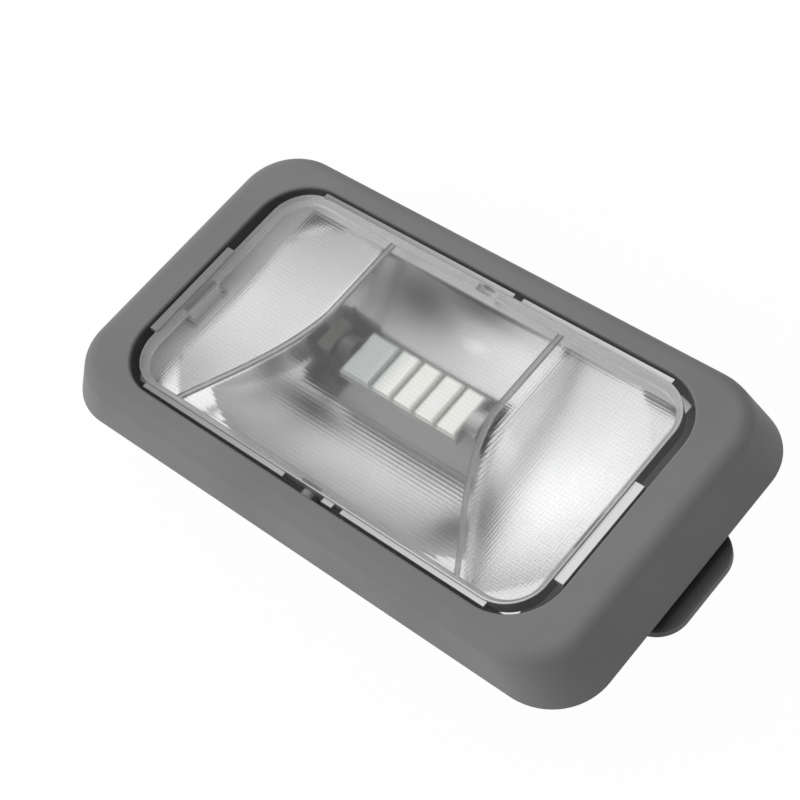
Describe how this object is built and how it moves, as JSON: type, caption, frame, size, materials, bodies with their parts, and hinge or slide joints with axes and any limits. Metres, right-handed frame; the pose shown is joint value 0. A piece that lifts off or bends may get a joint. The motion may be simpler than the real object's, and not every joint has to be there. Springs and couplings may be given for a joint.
{
  "type": "car dome light",
  "caption": "Rounded rectangular car dome light: grey bezel, clear ribbed lens that rocks to switch it, bright reflector, LED lamp, and a rear housing with tongue, clip and socket.",
  "frame": {"origin": "middle of the plane where the bezel's skirt meets the roof lining", "axes": "+Z out of the lens into the cabin, +X along the long side towards the locating tongue, +Y along the short side away from the connector socket"},
  "size_m": [0.127, 0.0666, 0.0255],
  "materials": {
    "bezel_grey": "fine grained grey moulding",
    "clear_plastic": "clear, polished, ribbed on the back",
    "metallised": "bright vacuum-metallised moulding",
    "housing_dark": "dark moulding, lightly grained",
    "board_white": "dark lacquered circuit board",
    "led_cell": "white light cell with a faint yellow tint",
    "cap_metal": "bright metal cap",
    "strip_brass": "stamped, satin",
    "bridge_brass": "stamped, satin",
    "spring_steel": "spring strip, satin",
    "screw_steel": "zinc-plated"
  },
  "bodies": {
    "base": {"bezel": "bezel_grey", "reflector": "metallised", "rear_housing": "housing_dark", "lamp_board": "board_white", "lamp_cap_left": "cap_metal", "lamp_cap_right": "cap_metal", "feed_strip": "strip_brass", "common_strip": "strip_brass", "earth_strip": "strip_brass", "door_strip": "strip_brass", "retaining_clip": "spring_steel", "housing_screws": "screw_steel", "led_1": "led_cell", "led_2": "led_cell", "led_3": "led_cell", "led_4": "led_cell", "led_5": "led_cell"},
    "rocker": {"lens": "clear_plastic", "on_bridge": "bridge_brass", "door_bridge": "bridge_brass"}
  },
  "joints": [
    {"name": "lens_rock", "type": "hinge", "parent": "base", "child": "rocker", "pos_m": [0, 0, 0.0066], "axis": [0, 1, 0], "range_deg": [-3, 3]}
  ]
}
